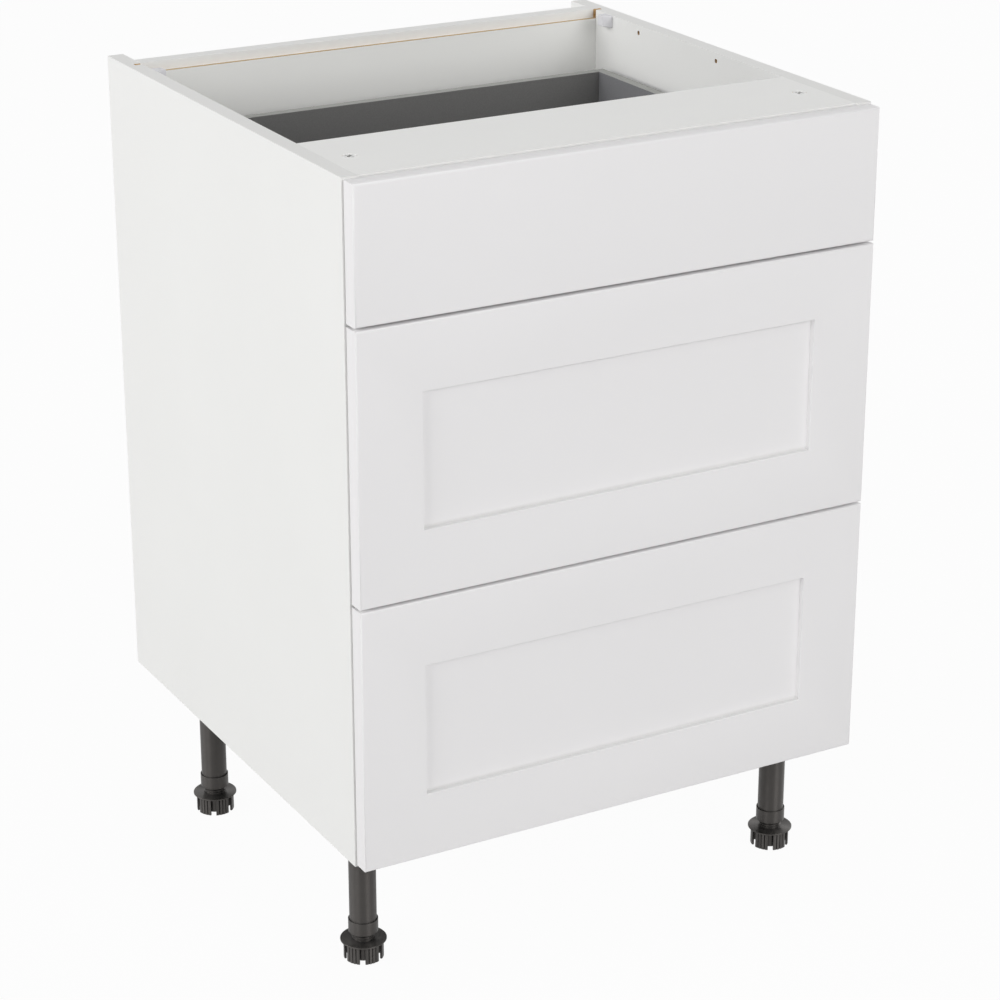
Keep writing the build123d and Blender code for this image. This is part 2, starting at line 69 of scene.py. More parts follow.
CAM_RADIUS = 7.4 * MM
CAM_HEIGHT = 12.5 * MM
CAM_FROM_END = 24 * MM
CAM_SUNK = 0.2 * MM
CAM_EDGE = 0.4 * MM
BASE_CAMS_FROM_FRONT = (128 * MM, 396 * MM)
CROSS_LENGTH = 9.4 * MM
CROSS_WIDTH = 3 * MM
CROSS_DEPTH = 5 * MM
SCREW_PITCH = 1 * MM
SCREW_PLAIN = 2 * MM
SCREW_POINT = 1.5 * MM
SCREW_ROOT = 0.72  # shares of the shank's radius
SCREW_TIP = 0.6
# screws: head radius, head height, shank radius and length
LEG_SCREW = (3.6 * MM, 2.2 * MM, 1.75 * MM, 15 * MM)
RUNNER_SCREW = (4.2 * MM, 1.4 * MM, 2.4 * MM, 11 * MM)
FRONT_SCREW = (4 * MM, 2 * MM, 2 * MM, 24 * MM)
RUNNER_SCREWS_FROM_FRONT = (37 * MM, 293 * MM)

LEG_FLOOR_TO_SKIRT = 20.5 * MM
FLANGE_THICKNESS = 1.6 * MM
FLANGE_RADIUS = 24.7 * MM
SKIRT_RADIUS = 21.3 * MM
SKIRT_WALL = 2.4 * MM
SKIRT_SLOTS = 6
SLOT_WIDTH = 6.2 * MM
SECTOR_LOBES = 4
STEPS_A_LOBE = 6
GROOVE_DEPTH = 1 * MM
SKIRT_EDGE = 0.4 * MM
HUB_RADIUS = 15.6 * MM
HUB_RISE = 2 * MM
HUB_BORE = 9.9 * MM
RIB_THICKNESS = 1.6 * MM
RIB_RISE = 3 * MM
SPINDLE_LENGTH = 40 * MM
SPINDLE_CAP = 2.6 * MM
SPINDLE_CORE = 11.1 * MM
SPINDLE_CHAMFER = 1 * MM
FOOT_EDGE = 0.35 * MM
THREAD_CREST = 12.45 * MM
THREAD_PITCH = 3 * MM
THREAD_ROOT = SPINDLE_CORE - 0.3 * MM
# the thread's outline: radius, and rise along the spindle
THREAD_RIDGE = (
    (THREAD_ROOT, 0), (THREAD_CREST, 0.9 * MM), (THREAD_CREST, 1.5 * MM), (THREAD_ROOT, 2.4 * MM),
)
THREAD_SUNK = 1.2 * MM  # how far it starts below the flange's top
THREAD_SHORT = 2.2 * MM  # how much shorter it is than the spindle
TUBE_RADIUS = 14.5 * MM
TUBE_BORE = 12.8 * MM
MOUTH_RADIUS = 15.9 * MM
MOUTH_HEIGHT = 14.9 * MM
TUBE_EDGE = 0.5 * MM
LEDGE_EDGE = 0.2 * MM
RING_GROOVE = 0.9 * MM
SOCKET_RADIUS = 18 * MM
SOCKET_BORE = 14.6 * MM
SOCKET_EDGE = 0.4 * MM
SEAM = 0.5 * MM  # how far joined forms reach into each other
PLATE_THICKNESS = 3.5 * MM
PLATE_CORNER = 9 * MM
PLATE_EDGE = 0.6 * MM
GUSSET_REACH = 25 * MM
GUSSET_HEIGHT = 8 * MM
GUSSET_THICKNESS = 2.5 * MM
LEG_SCREW_SPACING = 38 * MM

RUNNER_STEEL = 1.2 * MM
CHANNEL_REACH = 10.2 * MM
CHANNEL_STOP = 6 * MM
RUNNER_GAP = 12.5 * MM
LEDGE_REACH = 10 * MM
FLANGE_FROM_PANEL = 3 * MM
FLANGE_SEAM = 0.2 * MM
FLANGE_SHORT = 30.75 * MM  # the moving flange stops this far before its rear end
AXLE_RADIUS = 3 * MM
AXLE_HEAD = 4.6 * MM
AXLE_HEAD_LENGTH = 0.6 * MM
ROLLER_FROM_PANEL = 3.8 * MM
ROLLER_WIDTH = 6 * MM
ROLLER_GAP = 0.2 * MM
ROLLER_FROM_END = 16 * MM
ROLLER_EDGE = 0.9 * MM
ROLLER_CHAMFER = 0.3 * MM
ROLLER_DISH = 0.8 * MM
ROLLER_PLAY = 0.12 * MM
AXLE_NEAR = ROLLER_FROM_PANEL - ROLLER_GAP
AXLE_FAR = ROLLER_FROM_PANEL + ROLLER_WIDTH + ROLLER_GAP
STEEL_EDGE = 0.35 * MM
STEEL_LONG_EDGE = 200 * MM
STEEL_CREASE = 1.0  # radians
INNER_HALF = 282 * MM  # from the middle to the inner face of a side panel

# steps round a circle
LEG_STEPS = 72
ROLLER_STEPS = 56
DISC_STEPS = 48
RIVET_STEPS = 40
THREAD_STEPS = 40
SHANK_STEPS = 16

MERGE = 1e-6
WELD = 1e-7


def box_of(node):
    """A node's lowest and highest corners at rest."""
    return [Vector(corner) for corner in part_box(node)]


def leg_middle(corner):
    """The spot on the floor under a leg's axis."""
    low, high = box_of(f"foot_{corner}")
    return Vector(((low.x + high.x) / 2, (low.y + high.y) / 2, 0))


# ---------------------------------------------------------------- finishes
# parts of a noise pattern's range that a ramp spreads out
CORE = (0.35, 0.65)
MIDDLE = (0.3, 0.7)
BROAD = (0.25, 0.75)
WIDE = (0.2, 0.8)


def shaded(tone, share):
    """A tone made lighter or darker all round."""
    return tuple(part * share for part in tone)


class Finish:
    """A procedural material round one Principled shader, reading the piece's own coordinates."""

    def __init__(self, name, **sockets):
        self.material = bpy.data.materials.new(name)
        self.material.use_nodes = True
        self.tree = self.material.node_tree
        self.shader = self.tree.nodes["Principled BSDF"]
        self.place = self.tree.nodes.new("ShaderNodeTexCoord").outputs["Object"]
        for socket, value in sockets.items():
            self.shader.inputs[socket.replace("_", " ")].default_value = value

    def node(self, kind, inputs, output=0, **settings):
        """Add a node; inputs are given by name or place, as sockets to link or as plain values."""
        made = self.tree.nodes.new(kind)
        for key, value in settings.items():
            setattr(made, key, value)
        for index, value in inputs.items():
            if isinstance(value, bpy.types.NodeSocket):
                self.tree.links.new(value, made.inputs[index])
            else:
                made.inputs[index].default_value = value
        return made.outputs[output]

    def math(self, operation, first, second):
        return self.node("ShaderNodeMath", {0: first, 1: second}, operation=operation)

    def vector(self, operation, first, second=(0, 0, 0)):
        return self.node("ShaderNodeVectorMath", {0: first, 1: second}, operation=operation)

    def axes(self, vector):
        made = self.tree.nodes.new("ShaderNodeSeparateXYZ")
        self.tree.links.new(vector, made.inputs[0])
        return made.outputs

    def noise(self, scale, detail=2.0, stretch=(1, 1, 1)):
        spot = self.vector("MULTIPLY", self.place, stretch)
        inputs = {"Vector": spot, "Scale": scale, "Detail": detail}
        return self.node("ShaderNodeTexNoise", inputs, "Fac")

    def chips(self, scale, stretch):
        """A random value for each cell, for flecks and flakes."""
        spot = self.vector("MULTIPLY", self.place, stretch)
        cells = self.node("ShaderNodeTexVoronoi", {"Vector": spot, "Scale": scale}, "Color")
        return self.axes(cells)[0]

    def ramp(self, factor, low, high, to_low=0.0, to_high=1.0):
        inputs = {0: factor, 1: low, 2: high, 3: to_low, 4: to_high}
        return self.node("ShaderNodeMapRange", inputs)

    def mix(self, factor, first, second):
        first, second = (
            value if isinstance(value, bpy.types.NodeSocket) else (*value, 1) for value in (first, second)
        )
        inputs = {0: factor, 6: first, 7: second}
        return self.node("ShaderNodeMix", inputs, 2, data_type="RGBA")

    def depth(self, node):
        """Distances below a board's own outer faces: along X, Y and Z, and the least of them."""
        low, high = box_of(node)
        offset = self.vector("ABSOLUTE", self.vector("SUBTRACT", self.place, (low + high) / 2))
        each = self.axes(self.vector("SUBTRACT", (high - low) / 2, offset))
        least = self.math("MINIMUM", self.math("MINIMUM", each[0], each[1]), each[2])
        return each, least

    def colour(self, value):
        self.tree.links.new(value, self.shader.inputs["Base Color"])

    def gloss(self, value):
        self.tree.links.new(value, self.shader.inputs["Roughness"])

    def tangent(self, value):
        self.tree.links.new(value, self.shader.inputs["Tangent"])

    def bump(self, height, strength, distance):
        inputs = {"Strength": strength, "Distance": distance, "Height": height}
        self.tree.links.new(self.node("ShaderNodeBump", inputs), self.shader.inputs["Normal"])


SKIN = 0.4 * MM  # thickness of a board's facing and edge band


def raw_core(finish, dark, light, scale):
    """Pressed wood chips, as seen on the walls of grooves and holes."""
    flakes = finish.chips(scale, stretch=(1, 1, 1.6))
    dust = finish.noise(scale * 2.2, detail=4.0)
    both = finish.math("ADD", finish.math("MULTIPLY", flakes, 0.6), finish.math("MULTIPLY", dust, 0.5))
    return finish.mix(finish.ramp(both, 0.2, 0.95), dark, light)


def faced_board(name, node, axis, face, band, core, rough=0.42, flecks=False):
    """A board with a facing, thin edge bands and a raw core wherever it is cut into."""
    finish = Finish(name, Specular_IOR_Level=0.4)
    each, least = finish.depth(node)
    on_edge = finish.math("GREATER_THAN", each[axis], SKIN)
    cut = finish.math("GREATER_THAN", least, SKIN)
    shift = finish.ramp(finish.noise(6.0, detail=3.0), *MIDDLE)
    face_tone = finish.mix(shift, face, shaded(face, 0.985))
    if flecks:
        fibres = finish.noise(900.0, detail=3.0)
        face_tone = finish.mix(finish.ramp(fibres, *CORE), face_tone, shaded(face, 1.12))
    band_tone = finish.mix(shift, band, shaded(band, 0.97))
    skin_tone = finish.mix(on_edge, face_tone, band_tone)
    finish.colour(finish.mix(cut, skin_tone, core(finish)))
    pearl = finish.noise(1500.0)
    smooth = finish.ramp(pearl, *WIDE, rough - 0.03, rough + 0.05)
    finish.gloss(finish.math("ADD", smooth, finish.math("MULTIPLY", cut, 0.45)))
    chips = finish.math("MULTIPLY", finish.noise(700.0, detail=5.0), cut)
    relief = finish.math("ADD", finish.math("MULTIPLY", pearl, 0.06), finish.math("MULTIPLY", chips, 2.0))
    finish.bump(relief, strength=0.5, distance=0.3 * MM)
    return finish.material


WHITE_FACE = (0.865, 0.865, 0.85)
# painted shade: the white boards' edge bands are a greyer tone than their faces, which darkens their top and
# front edges
WHITE_BAND_PAINTED_SHADE = (0.80, 0.80, 0.785)
BACK_FACE = (0.88, 0.88, 0.855)
BACK_BAND = (0.50, 0.34, 0.15)
GREY_FACE = (0.145, 0.144, 0.141)
# painted light: the drawer boxes' left and right boards are a lighter grey than their other boards, as if
# lit from the side
GREY_SIDE_PAINTED_LIGHT = (0.195, 0.196, 0.204)
GREY_BAND = (0.38, 0.385, 0.365)
FOIL = (0.87, 0.86, 0.865)
# painted shade: a darker tone laid on the ledge at the foot of each framed front's recess, fading onto the
# panel above it
LEDGE_SHADE_TONE = (0.73, 0.725, 0.72)
LEDGE_SHADE_START = 0.5 * MM
LEDGE_SHADE_FADE = (1.5 * MM, 4 * MM)
LEDGE_SHADE_DEPTH = (0.4 * MM, 1.2 * MM)


def chip_core(finish):
    """The inside of particleboard."""
    return raw_core(finish, (0.46, 0.29, 0.125), (0.76, 0.54, 0.28), 520.0)


def fibre_core(finish):
    """The inside of fibreboard, finer and darker."""
    return raw_core(finish, (0.36, 0.235, 0.12), (0.50, 0.345, 0.19), 1400.0)


def painted_ledge_shade(finish, node):
    """How much painted shade a spot gets: all over the ledge at the foot of a front's recess, and fading
    above it.
    """
    low = box_of(node)[0]
    spot = finish.axes(finish.place)
    from_foot = finish.math("SUBTRACT", spot[2], low.z + FRAME_WIDTH)
    sunk = finish.math("SUBTRACT", spot[1], low.y)
    on_ledge = finish.math("GREATER_THAN", from_foot, -LEDGE_SHADE_START)
    fading = finish.ramp(from_foot, *LEDGE_SHADE_FADE, 1.0, 0.0)
    behind_lip = finish.ramp(sunk, *LEDGE_SHADE_DEPTH)
    inside = finish.math("GREATER_THAN", finish.depth(node)[0][0], FRAME_WIDTH / 2)
    across = finish.math("MULTIPLY", on_ledge, inside)
    return finish.math("MULTIPLY", finish.math("MULTIPLY", fading, behind_lip), across)


def foil_finish(node, framed):
    """White foil over fibreboard, with the faint orange peel of pressed film."""
    finish = Finish(f"white_foil_{node}", Specular_IOR_Level=0.3)
    cloud = finish.noise(5.0, detail=3.0)
    tone = finish.mix(finish.ramp(cloud, *MIDDLE), FOIL, shaded(FOIL, 0.988))
    # framed fronts get painted shade on the ledge at the foot of their recess
    finish.colour(finish.mix(painted_ledge_shade(finish, node), tone, LEDGE_SHADE_TONE) if framed else tone)
    peel = finish.noise(420.0)
    finish.gloss(finish.ramp(peel, *BROAD, 0.58, 0.66))
    finish.bump(peel, strength=0.1, distance=0.2 * MM)
    return finish.material


BLACK_DEEP = (0.013, 0.0128, 0.0125)
BLACK_SCUFFED = (0.024, 0.023, 0.022)
WARM_GLOSS = (1.0, 0.93, 0.88, 1)
SCUFFED = (0.35, 0.75)


def black_plastic_finish(corner):
    """Satin black plastic, whose fine rings round the leg's axis draw its gloss out lengthwise."""
    finish = Finish(
        f"black_plastic_{corner}", Specular_IOR_Level=0.75, Specular_Tint=WARM_GLOSS,
        Anisotropic=0.92, Anisotropic_Rotation=0.25,
    )
    from_axis = finish.vector("SUBTRACT", finish.place, leg_middle(corner))
    finish.tangent(finish.vector("CROSS_PRODUCT", (0, 0, 1), from_axis))
    scuffs = finish.noise(90.0, detail=5.0)
    finish.colour(finish.mix(finish.ramp(scuffs, *SCUFFED), BLACK_DEEP, BLACK_SCUFFED))
    finish.gloss(finish.ramp(scuffs, *SCUFFED, 0.38, 0.46))
    finish.bump(finish.noise(1200.0), strength=0.1, distance=0.1 * MM)
    return finish.material


def white_plastic_finish(name, tone, rough):
    """Pale moulded plastic with a fine spark-eroded grit."""
    finish = Finish(name, Specular_IOR_Level=0.45)
    cloud = finish.noise(70.0, detail=3.0)
    finish.colour(finish.mix(finish.ramp(cloud, *MIDDLE), tone, shaded(tone, 0.965)))
    grit = finish.noise(2600.0)
    finish.gloss(finish.ramp(grit, *WIDE, rough - 0.05, rough + 0.08))
    finish.bump(grit, strength=0.18, distance=0.1 * MM)
    return finish.material


def metal_finish(name, tone, rough, grit_scale, relief):
    """Dull bare metal, cloudy, with a cast or plated grit."""
    finish = Finish(name, Metallic=1.0)
    cloud = finish.noise(240.0, detail=4.0)
    finish.colour(finish.mix(finish.ramp(cloud, *MIDDLE), tone, shaded(tone, 0.82)))
    grit = finish.noise(grit_scale, detail=4.0)
    finish.gloss(finish.ramp(grit, *BROAD, rough - 0.08, rough + 0.1))
    finish.bump(grit, strength=relief, distance=0.1 * MM)
    return finish.material


def beech_finish():
    """Raw beech, with its grain along the dowels."""
    finish = Finish("beech", Specular_IOR_Level=0.3)
    fibres = finish.noise(900.0, detail=4.0, stretch=(0.08, 1, 1))
    finish.colour(finish.mix(finish.ramp(fibres, *MIDDLE), (0.66, 0.47, 0.29), (0.50, 0.33, 0.19)))
    finish.gloss(finish.ramp(fibres, *MIDDLE, 0.6, 0.75))
    finish.bump(fibres, strength=0.35, distance=0.2 * MM)
    return finish.material


def coated_finish():
    """White epoxy powder coat on pressed steel."""
    finish = Finish("white_epoxy", Specular_IOR_Level=0.5)
    cloud = finish.noise(30.0, detail=3.0)
    finish.colour(finish.mix(finish.ramp(cloud, *MIDDLE), (0.84, 0.84, 0.825), (0.81, 0.81, 0.79)))
    peel = finish.noise(900.0)
    finish.gloss(finish.ramp(peel, *WIDE, 0.28, 0.40))
    finish.bump(peel, strength=0.25, distance=0.1 * MM)
    return finish.material


block_plastic = white_plastic_finish("block_plastic", (0.75, 0.745, 0.77), rough=0.5)
nylon = white_plastic_finish("nylon", (0.78, 0.775, 0.72), rough=0.42)
zinc = metal_finish("cast_zinc", (0.72, 0.72, 0.71), rough=0.46, grit_scale=2200.0, relief=0.5)
plated_steel = metal_finish("plated_steel", (0.66, 0.66, 0.64), rough=0.3, grit_scale=1500.0, relief=0.15)
beech = beech_finish()
coated_steel = coated_finish()


# ---------------------------------------------------------------- mesh helpers
def finish_piece(name, shape, material, body, nodes, sharp=35.0, all_smooth=True):
    """Turn a bmesh into a piece that rides on a body and stands for its CAD nodes."""
    bmesh.ops.remove_doubles(shape, verts=shape.verts, dist=MERGE)
    bmesh.ops.recalc_face_normals(shape, faces=shape.faces)
    mesh = bpy.data.meshes.new(name)
    shape.to_mesh(mesh)
    shape.free()
    if all_smooth:
        mesh.polygons.foreach_set("use_smooth", [True] * len(mesh.polygons))
    mesh.set_sharp_from_angle(angle=math.radians(sharp))
    mesh.materials.append(material)
    piece = bpy.data.objects.new(name, mesh)
    bpy.context.scene.collection.objects.link(piece)
    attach(piece, body)
    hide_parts(*nodes)
    return piece


def dress_node(node, material):
    """Give a CAD node, kept as it is, a finish of its own."""
    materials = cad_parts[node].data.materials
    materials.clear()
    materials.append(material)


def merged_copy(node):
    """A bmesh of a CAD node, with its loose triangles joined into flat faces."""
    shape = bmesh.new()
    shape.from_mesh(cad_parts[node].data)
    bmesh.ops.remove_doubles(shape, verts=shape.verts, dist=MERGE)
    bmesh.ops.dissolve_limit(shape, angle_limit=math.radians(0.5), verts=shape.verts, edges=shape.edges)
    return shape


def only(kind, parts):
    """The vertices, edges or faces among what an operator made."""
    return [part for part in parts if isinstance(part, kind)]


def turn_z(angle):
    """A turn round the Z axis, as a matrix."""
    return Matrix.Rotation(angle, 3, "Z")


def turn_verts(shape, verts, angle):
    """Turn vertices round the Z axis."""
    bmesh.ops.rotate(shape, verts=verts, cent=(0, 0, 0), matrix=turn_z(angle))


def even_shading(piece):
    """Keep flat faces flat where small rounded edges meet them."""
    modifier = piece.modifiers.new("even_shading", "WEIGHTED_NORMAL")
    modifier.keep_sharp = True


def soften(shape, edges, width, segments):
    """Round edges over, with smooth shading on the rounding."""
    made = bmesh.ops.bevel(
        shape, geom=edges, offset=width, offset_type="OFFSET", affect="EDGES", segments=segments,
        profile=0.5, material=-1, clamp_overlap=True,
    )
    for face in made["faces"]:
        face.smooth = True


def box_between(shape, low, high):
    """A straight box between two corners; gives its new vertices."""
    low, high = Vector(low), Vector(high)
    place = Matrix.Translation((low + high) / 2) @ Matrix.Diagonal((*(high - low), 1))
    return bmesh.ops.create_cube(shape, size=1, matrix=place)["verts"]


def spun(shape, profile, segments, closed=True):
    """Spin an (r, z) profile round the Z axis; gives its new vertices."""
    before = set(shape.verts)
    dots = [shape.verts.new((radius, 0, height)) for radius, height in profile]
    lines = [shape.edges.new(pair) for pair in zip(dots, dots[1:])]
    if closed:
        lines.append(shape.edges.new((dots[-1], dots[0])))
    bmesh.ops.spin(
        shape, geom=dots + lines, cent=(0, 0, 0), axis=(0, 0, 1), dvec=(0, 0, 0),
        angle=math.tau, steps=segments, use_merge=True, use_duplicate=False,
    )
    new = [v for v in shape.verts if v not in before]
    bmesh.ops.remove_doubles(shape, verts=new, dist=WELD)
    return [v for v in shape.verts if v not in before]


def outline_solid(shape, dots, along):
    """Extrude a flat outline of points along a vector, as a closed solid."""
    face = shape.faces.new([shape.verts.new(dot) for dot in dots])
    made = bmesh.ops.extrude_face_region(shape, geom=[face], use_keep_orig=True)["geom"]
    moved = only(bmesh.types.BMVert, made)
    bmesh.ops.translate(shape, verts=moved, vec=along)
    return list(face.verts) + moved


def stand_on(normal, spot, towards=None):
    """A matrix that takes local +Z to a normal, and the origin to a spot."""
    z = Vector(normal).normalized()
    x = Vector(towards) if towards else Vector((0, 0, 1)).cross(z)
    if x.length < 0.5:
        x = Vector((1, 0, 0))
    turn = Matrix((x, z.cross(x), z)).transposed().to_4x4()
    return Matrix.Translation(spot) @ turn


# ---------------------------------------------------------------- boards, with eased edges
def eased_board(node, material, body):
    """A merged copy of a CAD board whose outer edges are slightly rounded."""
    box = box_of(node)
    shape = merged_copy(node)

    def planes(vert):
        """The sides of the board's box that a vertex lies on."""
        return {
            (axis, side)
            for axis in range(3)
            for side, corner in enumerate(box)
            if abs(vert.co[axis] - corner[axis]) < 10 * MERGE
        }

    outer = [e for e in shape.edges if len(planes(e.verts[0]) & planes(e.verts[1])) >= 2]
    soften(shape, outer, BOARD_EDGE, segments=2)
    even_shading(finish_piece(f"{node}_eased", shape, material, body, [node]))


# boards, each with the axis that its thickness lies along
WHITE_BOARDS = {
    "side_panel_left": 0, "side_panel_right": 0, "base_panel": 2, "front_rail": 2, "rear_rail": 1,
}
BOX_BOARDS = {"front": 1, "back": 1, "left": 0, "right": 0, "bottom": 2}

for node, axis in WHITE_BOARDS.items():
    melamine = faced_board(f"melamine_{node}", node, axis, WHITE_FACE, WHITE_BAND_PAINTED_SHADE, chip_core)
    eased_board(node, melamine, "cabinet")

dress_node("back_panel", faced_board(
    "faced_back_panel", "back_panel", 1, BACK_FACE, BACK_BAND, fibre_core, rough=0.5,
))

for drawer in DRAWERS:
    for board, axis in BOX_BOARDS.items():
        node = f"{drawer}_box_{board}"
        # the left and right boards get the lighter grey, which is painted light
        face = GREY_SIDE_PAINTED_LIGHT if board in ("left", "right") else GREY_FACE
        laminate = faced_board(
            f"laminate_{node}", node, axis, face, GREY_BAND, fibre_core, rough=0.5, flecks=True,
        )
        eased_board(node, laminate, f"drawer_{drawer}")


# ---------------------------------------------------------------- drawer fronts
def drawer_front(drawer, framed):
    """A front with a rounded rim; a framed one has a slightly dished panel, sunk by a steep step."""
    node = f"{drawer}_front"
    low, high = box_of(node)
    high.y += FRONT_BACKING
    shape = bmesh.new()
    box_between(shape, low, high)
    shape.faces.ensure_lookup_table()
    face = min(shape.faces, key=lambda side: side.calc_center_median().y)
    rim = list(face.edges)
    rest = [edge for edge in shape.edges if edge not in rim]
    loops = []
    for run, drop, rounding in RECESS_STEPS if framed else ():
        bmesh.ops.inset_region(shape, faces=[face], thickness=run, use_even_offset=True)
        bmesh.ops.translate(shape, verts=face.verts, vec=(0, drop, 0))
        loops.append((list(face.edges), rounding))
    soften(shape, rim, FRAMED_RIM if framed else SLAB_RIM, segments=6)
    soften(shape, [edge for edge in rest if edge.is_valid], FRONT_BACK_EDGE, segments=3)
    for edges, rounding in loops:
        soften(shape, [edge for edge in edges if edge.is_valid], rounding, segments=4)
    finish_piece(
        f"{node}_wrapped", shape, foil_finish(node, framed), f"drawer_{drawer}", [node],
        sharp=60.0, all_smooth=False,
    )


drawer_front("top", False)
drawer_front("middle", True)
drawer_front("bottom", True)


# ---------------------------------------------------------------- cams, bolts, dowels and screws
def cross_outline(shape, height):
    """Edges of a cross, closed on itself, at a height."""
    long, short = CROSS_LENGTH / 2, CROSS_WIDTH / 2
    quarter = [(long, -short), (long, short), (short, short)]
    dots = []
    for turn in range(4):
        spin = turn_z(turn * math.tau / 4 + math.tau / 8)
        dots += [shape.verts.new(spin @ Vector((x, y, height))) for x, y in quarter]
    return [shape.edges.new(pair) for pair in zip(dots, dots[1:] + dots[:1])]


def extruded_loop(shape, edges):
    """Walls drawn out of a loop of edges; gives the new loop's vertices and edges."""
    made = bmesh.ops.extrude_edge_only(shape, edges=edges)["geom"]
    verts = only(bmesh.types.BMVert, made)
    loop = [edge for edge in only(bmesh.types.BMEdge, made) if all(v in verts for v in edge.verts)]
    return verts, loop


def recessed_disc(shape, radius, length, dome, scale=1.0):
    """A round body under local Z = 0, with a cross recess in its face; gives its vertices.

    The dome lists depths and radii below the face; a radius of None keeps the last one.
    """
    before = set(shape.verts)
    ring = bmesh.ops.create_circle(shape, segments=DISC_STEPS, radius=radius)["verts"]
    ring_edges = list({edge for vert in ring for edge in vert.link_edges})
    cross = cross_outline(shape, 0)
    cross_verts = list({vert for edge in cross for vert in edge.verts})
    bmesh.ops.scale(shape, verts=cross_verts, vec=(scale, scale, 1))
    bmesh.ops.triangle_fill(shape, edges=ring_edges + cross, use_beauty=True)
    floor_verts, floor_edges = extruded_loop(shape, cross)
    bmesh.ops.translate(shape, verts=floor_verts, vec=(0, 0, -CROSS_DEPTH * scale))
    bmesh.ops.triangle_fill(shape, edges=floor_edges, use_beauty=True)
    loop = ring_edges
    for drop, grow in dome + [(length, None)]:
        moved, loop = extruded_loop(shape, loop)
        for vert in moved:
            reach = Vector((vert.co.x, vert.co.y)).length
            wanted = grow if grow is not None else reach
            vert.co = (vert.co.x * wanted / reach, vert.co.y * wanted / reach, -drop)
    bmesh.ops.triangle_fill(shape, edges=loop, use_beauty=True)
    return [v for v in shape.verts if v not in before]


def cams():
    """Cams let into the rails and the base, each with its cross recess outwards."""
    shape = bmesh.new()
    spots = []
    rail_low, rail_high = box_of("front_rail")
    rear_low, rear_high = box_of("rear_rail")
    base_low = box_of("base_panel")[0]
    for side in (-1, 1):
        x = side * (INNER_HALF - CAM_FROM_END)
        spots.append(((x, (rail_low.y + rail_high.y) / 2, rail_high.z), (0, 0, 1), side))
        spots.append(((x, rear_high.y, (rear_low.z + rear_high.z) / 2), (0, 1, 0), side))
        for from_front in BASE_CAMS_FROM_FRONT:
            spots.append(((x, base_low.y + from_front, base_low.z), (0, 0, -1), side))
    for spot, normal, side in spots:
        verts = recessed_disc(shape, CAM_RADIUS - CAM_EDGE, CAM_HEIGHT, [(CAM_EDGE, CAM_RADIUS)])
        sunk = Vector(spot) - Vector(normal) * CAM_SUNK
        bmesh.ops.transform(shape, matrix=stand_on(normal, sunk, (side, 0, 0)), verts=verts)
    finish_piece("cams_recessed", shape, zinc, "cabinet", ["cam_locks"])


def screw_shank(radius, length):
    """Half the outline of a ridged shank with a pointed end, from under the head down."""
    ridges = []
    for turn in range(int((length - SCREW_PLAIN) / SCREW_PITCH)):
        z = -turn * SCREW_PITCH
        ridges += [(radius * SCREW_ROOT, z - 0.1 * SCREW_PITCH), (radius, z - 0.55 * SCREW_PITCH)]
    return [(0, 0)] + ridges + [(radius * SCREW_TIP, -length + SCREW_POINT), (0, -length)]


def screws(node, spots, head_radius, head_height, shank_radius, length, body):
    """Pan-headed screws with a cross recess; each spot is where the head sits, and its normal."""
    dome = [
        (0.25 * head_height, head_radius * 0.86), (0.6 * head_height, head_radius), (head_height, None),
    ]
    cross_scale = head_radius * 0.9 / CROSS_LENGTH
    shape = bmesh.new()
    for spot, normal in spots:
        verts = recessed_disc(shape, head_radius * 0.6, head_height + 0.02 * MM, dome, cross_scale)
        bmesh.ops.translate(shape, verts=verts, vec=(0, 0, head_height))
        shank = spun(shape, screw_shank(shank_radius, length), SHANK_STEPS, closed=False)
        bmesh.ops.transform(shape, matrix=stand_on(normal, spot), verts=verts + shank)
    finish_piece(f"{node}_cut", shape, plated_steel, body, [node])


cams()

leg_spots = []
for corner in CORNERS:
    low, high = box_of(f"leg_socket_{corner}")
    middle = Vector(((low.x + high.x) / 2, (low.y + high.y) / 2, high.z - PLATE_THICKNESS))
    for x in (-1, 1):
        for y in (-1, 1):
            leg_spots.append((middle + Vector((x, y, 0)) * LEG_SCREW_SPACING / 2, (0, 0, -1)))
screws("leg_screws", leg_spots, *LEG_SCREW, "cabinet")

edge_y = box_of("side_panel_left")[0].y
axle_z = {}
runner_spots = []
for drawer in DRAWERS:
    low, high = box_of(f"{drawer}_rollers_front")
    axle_z[drawer] = (low.z + high.z) / 2
    for side in (-1, 1):
        for from_front in RUNNER_SCREWS_FROM_FRONT:
            spot = (side * (INNER_HALF - RUNNER_STEEL), edge_y + from_front, axle_z[drawer])
            runner_spots.append((spot, (-side, 0, 0)))
screws("runner_screws", runner_spots, *RUNNER_SCREW, "cabinet")

for drawer in DRAWERS:
    low, high = box_of(f"{drawer}_front_screws")
    head_radius, head_height = FRONT_SCREW[:2]
    head_rise = head_radius * math.cos(math.pi / 6)  # the solids' heads are six-sided
    spots = [
        ((x, high.y - head_height, z), (0, 1, 0))
        for x in (low.x + head_radius, high.x - head_radius)
        for z in (low.z + head_rise, high.z - head_rise)
    ]
    screws(f"{drawer}_front_screws", spots, *FRONT_SCREW, f"drawer_{drawer}")

dress_node("cam_bolts", plated_steel)
dress_node("dowels", beech)


# ---------------------------------------------------------------- worktop fixing blocks
for side in ("left", "right"):
    node = f"corner_block_{side}"
    shape = merged_copy(node)
    outside = [
        edge for edge in shape.edges
        if edge.calc_length() > BLOCK_LONG_EDGE and edge.calc_face_angle(0) > BLOCK_CREASE
        and max(abs(vert.co.x) for vert in edge.verts) < INNER_HALF + MM
    ]
    soften(shape, outside, BLOCK_EDGE, segments=4)
    even_shading(finish_piece(
        f"{node}_moulded", shape, block_plastic, "cabinet", [node],
    ))


